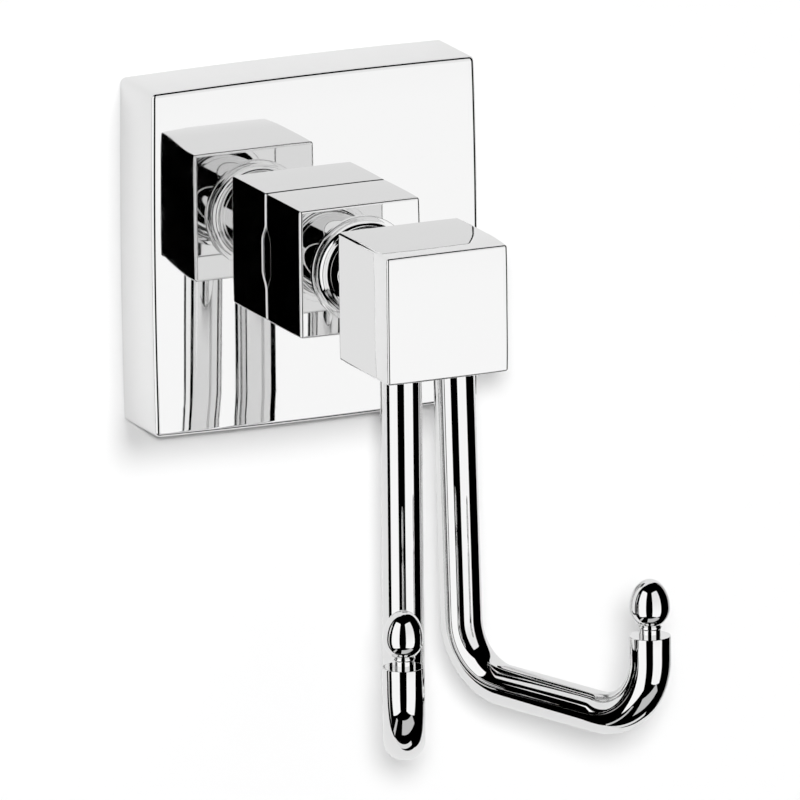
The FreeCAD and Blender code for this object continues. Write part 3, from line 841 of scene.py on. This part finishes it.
def fill_card(name):
    """A small white card beside the plate, which only the plate's image on the cube's side shows."""
    stage = settings_of("stage")
    aside = Vector((math.cos(stage.azimuth), math.sin(stage.azimuth), 0))
    outwards = towards(stage.azimuth, 0)
    left, right = FILL_RIGHT
    places = ((left, FILL_LOW), (right, FILL_LOW), (right, FILL_HIGH), (left, FILL_HIGH))
    corners = [aside * a + outwards * FILL_NEAR + Vector((0, 0, z)) for a, z in places]
    material, tree, output = new_material(name + "_paper")
    ray = add_node(tree, "ShaderNodeLightPath")
    twice = add_node(tree, "ShaderNodeMath", {"operation": "GREATER_THAN", 1: SECOND_REFLECTION},
                     {0: ray.outputs["Glossy Depth"]})
    clear = add_node(tree, "ShaderNodeBsdfTransparent")
    glow = add_node(tree, "ShaderNodeEmission", {"Color": (1, 1, 1, 1), "Strength": FILL_LEVEL})
    mixed = add_node(tree, "ShaderNodeMixShader",
                     links={0: twice.outputs[0], 1: clear.outputs[0], 2: glow.outputs[0]})
    tree.links.new(mixed.outputs[0], output.inputs["Surface"])
    only_mirrored(flat_card(name, corners, material))


def sun(name, azimuth, elevation, angle, share, blocker=None):
    """A lamp that gives the wall a share of its white, and that the metal doesn't show."""
    lamp = bpy.data.lights.new(name, "SUN")
    lamp.angle = angle
    lamp.energy = share * math.pi / WALL_WHITE / (math.cos(azimuth) * math.cos(elevation))
    source = bpy.data.objects.new(name, lamp)
    bpy.context.collection.objects.link(source)
    source.matrix_world = towards(azimuth, elevation).to_track_quat("Z", "Y").to_matrix().to_4x4()
    source.visible_glossy = False
    if blocker:
        group = bpy.data.collections.new(name + "_blockers")
        group.objects.link(bpy.data.objects[blocker])
        source.light_linking.blocker_collection = group


def wall_paint():
    """White paint, with dark ends in reflections, and clear from behind."""
    material, tree, output = new_material("white_wall_paint")
    paint = add_node(tree, "ShaderNodeBsdfDiffuse",
                     {"Color": (WALL_WHITE, WALL_WHITE, WALL_WHITE, 1)})
    glow = add_node(tree, "ShaderNodeEmission", {"Color": (1, 1, 1, 1), "Strength": GLOW_SHARE})
    lit = add_node(tree, "ShaderNodeAddShader", links={0: paint.outputs[0], 1: glow.outputs[0]})
    place = add_node(tree, "ShaderNodeNewGeometry")
    parts = add_node(tree, "ShaderNodeSeparateXYZ", links={0: place.outputs["Position"]})
    left_end = add_node(tree, "ShaderNodeMapRange",
                        {"From Min": DARK_LEFT[0], "From Max": DARK_LEFT[1],
                         "To Min": 1.0, "To Max": WALL_DIMMING}, {"Value": parts.outputs["X"]})
    right_end = add_node(tree, "ShaderNodeMapRange",
                         {"From Min": DARK_RIGHT[0], "From Max": DARK_RIGHT[1],
                          "To Min": WALL_DIMMING, "To Max": 1.0}, {"Value": parts.outputs["X"]})
    ends = add_node(tree, "ShaderNodeMath", {"operation": "MAXIMUM"},
                    {0: left_end.outputs[0], 1: right_end.outputs[0]})
    ray = add_node(tree, "ShaderNodeLightPath")
    dimmed = add_node(tree, "ShaderNodeMath", {"operation": "MULTIPLY"},
                      {0: ends.outputs[0], 1: ray.outputs["Is Glossy Ray"]})
    dark = add_node(tree, "ShaderNodeEmission", {"Color": (0, 0, 0, 1), "Strength": 0.0})
    mirrored = add_node(tree, "ShaderNodeMixShader",
                        links={0: dimmed.outputs[0], 1: lit.outputs[0], 2: dark.outputs[0]})
    clear = add_node(tree, "ShaderNodeBsdfTransparent")
    one_sided = add_node(tree, "ShaderNodeMixShader",
                         links={0: place.outputs["Backfacing"], 1: mirrored.outputs[0],
                                2: clear.outputs[0]})
    tree.links.new(one_sided.outputs[0], output.inputs["Surface"])
    return material


def build_wall(name):
    """A white wall that takes the shadows and is only there when it is seen from the front."""
    corners = [(x, WALL_GAP, z) for x, z in (
        (-WALL_HALF_WIDTH, WALL_LOW), (WALL_HALF_WIDTH, WALL_LOW),
        (WALL_HALF_WIDTH, WALL_HIGH), (-WALL_HALF_WIDTH, WALL_HIGH))]
    flat_card(name, corners, wall_paint())


def build_world():
    """A dark studio in front, a pale room behind, and plain white where the camera looks past it."""
    world = bpy.data.worlds.new("studio")
    bpy.context.scene.world = world
    world.use_nodes = True
    tree = world.node_tree
    tree.nodes.clear()
    direction = add_node(tree, "ShaderNodeTexCoord").outputs["Generated"]
    parts = add_node(tree, "ShaderNodeSeparateXYZ", links={0: direction})
    behind = add_node(tree, "ShaderNodeMapRange",
                      {"From Min": ROOM_START, "From Max": ROOM_FULL,
                       "To Min": 0.0, "To Max": ROOM_LEVEL}, {"Value": parts.outputs["Y"]})
    reflected = add_node(tree, "ShaderNodeBackground", {"Color": (1, 1, 1, 1)},
                         {"Strength": behind.outputs["Result"]})
    fill = add_node(tree, "ShaderNodeBackground",
                    {"Color": (1, 1, 1, 1), "Strength": SKY_SHARE / WALL_WHITE})
    white = add_node(tree, "ShaderNodeBackground", {"Color": (1, 1, 1, 1), "Strength": 1.0})
    ray = add_node(tree, "ShaderNodeLightPath")
    lit = add_node(tree, "ShaderNodeMixShader", links={0: ray.outputs["Is Glossy Ray"],
                                                       1: fill.outputs[0], 2: reflected.outputs[0]})
    seen = add_node(tree, "ShaderNodeMixShader", links={0: ray.outputs["Is Camera Ray"],
                                                        1: lit.outputs[0], 2: white.outputs[0]})
    output = tree.nodes.new("ShaderNodeOutputWorld")
    tree.links.new(seen.outputs[0], output.inputs["Surface"])


def build_camera(stage):
    """A long lens from the photograph's side, slightly above."""
    back = towards(stage.azimuth, stage.elevation)
    right = Vector((math.cos(stage.azimuth), math.sin(stage.azimuth), 0))
    up = back.cross(right)
    turn = Matrix.Rotation(stage.roll, 3, back)
    right, up = turn @ right, turn @ up
    foot = Vector((AXIS.x, POST_HIGH.y, AXIS.z))
    aim = foot + right * stage.aside - up * stage.below
    lens = bpy.data.cameras.new("camera")
    lens.sensor_width = SENSOR_WIDTH
    lens.lens = SENSOR_WIDTH * stage.distance / stage.shown
    lens.clip_end = FAR_LIMIT
    camera = bpy.data.objects.new("camera", lens)
    bpy.context.collection.objects.link(camera)
    frame_axes = Matrix((right, up, back)).transposed().to_4x4()
    camera.matrix_world = Matrix.Translation(aim + back * stage.distance) @ frame_axes
    bpy.context.scene.camera = camera


class ROBEHOOK_OT_wall_plate(bpy.types.Operator):
    """Build the mirror-polished wall plate"""
    bl_idname = "robe_hook.wall_plate"
    bl_label = "Wall plate"

    def execute(self, context):
        piece = build_wall_plate(settings_of("plate"))
        finish_piece(piece, "polished_chrome", "wall_plate")
        return {"FINISHED"}


class ROBEHOOK_OT_post(bpy.types.Operator):
    """Build the square post with its turned neck"""
    bl_idname = "robe_hook.post"
    bl_label = "Post"

    def execute(self, context):
        piece = build_post(settings_of("post"), settings_of("hook"))
        finish_piece(piece, "polished_chrome", "post")
        return {"FINISHED"}


class ROBEHOOK_OT_hooks(bpy.types.Operator):
    """Build the two bent rods with their egg tips"""
    bl_idname = "robe_hook.hooks"
    bl_label = "Hooks"

    def execute(self, context):
        for name, node, side in (("left_bent_rod", "left_hook", -1),
                                 ("right_bent_rod", "right_hook", 1)):
            piece = build_hook(name, side, settings_of("hook"), settings_of("post"))
            finish_piece(piece, "polished_chrome", node)
        return {"FINISHED"}


class ROBEHOOK_OT_fixings(bpy.types.Operator):
    """Finish the bracket, bolt, washer, pin and lock screw"""
    bl_idname = "robe_hook.fixings"
    bl_label = "Fixings"

    def execute(self, context):
        for row in frame["record"]["subparts"]:
            slot = row["material_slot"]
            if slot != "polished_chrome":
                for place in frame["nodes"][row["node"]].material_slots:
                    place.material = finish(slot)
        return {"FINISHED"}


class ROBEHOOK_OT_stage(bpy.types.Operator):
    """Set up the wall, the cards, the lamps and the camera"""
    bl_idname = "robe_hook.stage"
    bl_label = "Stage"

    def execute(self, context):
        stage = settings_of("stage")
        build_world()
        build_wall("backdrop_wall")
        for row in SOFTBOXES:
            softbox(*row)
        for row in LOW_CARDS:
            low_card(*row)
        fill_card("cube_fill_card")
        sun("drop_shadow_lamp", stage.azimuth + math.radians(DROP_LAMP_RIGHT),
            stage.elevation + math.radians(DROP_LAMP_UP), math.radians(DROP_LAMP_WIDTH), DROP_SHARE)
        sun("plate_shadow_lamp", math.radians(PLATE_LAMP_RIGHT), math.radians(PLATE_LAMP_UP),
            math.radians(PLATE_LAMP_WIDTH), PLATE_SHARE, "mirror_wall_plate")
        build_camera(stage)
        context.scene.view_settings.view_transform = "Standard"
        return {"FINISHED"}


class ROBEHOOK_PT_sidebar(bpy.types.Panel):
    """Lists the pieces and the stage of the robe hook"""
    bl_idname = "ROBEHOOK_PT_sidebar"
    bl_label = "Robe hook"
    bl_space_type = "VIEW_3D"
    bl_region_type = "UI"
    bl_category = "Robe hook"

    def draw(self, context):
        for operator in OPERATORS:
            self.layout.operator(operator.bl_idname)


GROUPS = {"plate": PlateSettings, "post": PostSettings, "hook": HookSettings, "finish": FinishSettings,
          "stage": StageSettings}
OPERATORS = (ROBEHOOK_OT_wall_plate, ROBEHOOK_OT_post, ROBEHOOK_OT_hooks, ROBEHOOK_OT_fixings,
             ROBEHOOK_OT_stage)


def register():
    for group in GROUPS.values():
        bpy.utils.register_class(group)
    for name, group in GROUPS.items():
        setattr(bpy.types.Scene, "robe_hook_" + name, PointerProperty(type=group))
    for operator in OPERATORS:
        bpy.utils.register_class(operator)
    bpy.utils.register_class(ROBEHOOK_PT_sidebar)


def unregister():
    bpy.utils.unregister_class(ROBEHOOK_PT_sidebar)
    for operator in reversed(OPERATORS):
        bpy.utils.unregister_class(operator)
    for name, group in GROUPS.items():
        delattr(bpy.types.Scene, "robe_hook_" + name)
        bpy.utils.unregister_class(group)


def main():
    register()
    bpy.ops.robe_hook.wall_plate()
    bpy.ops.robe_hook.post()
    bpy.ops.robe_hook.hooks()
    bpy.ops.robe_hook.fixings()
    bpy.ops.robe_hook.stage()


if __name__ == "__main__":
    main()
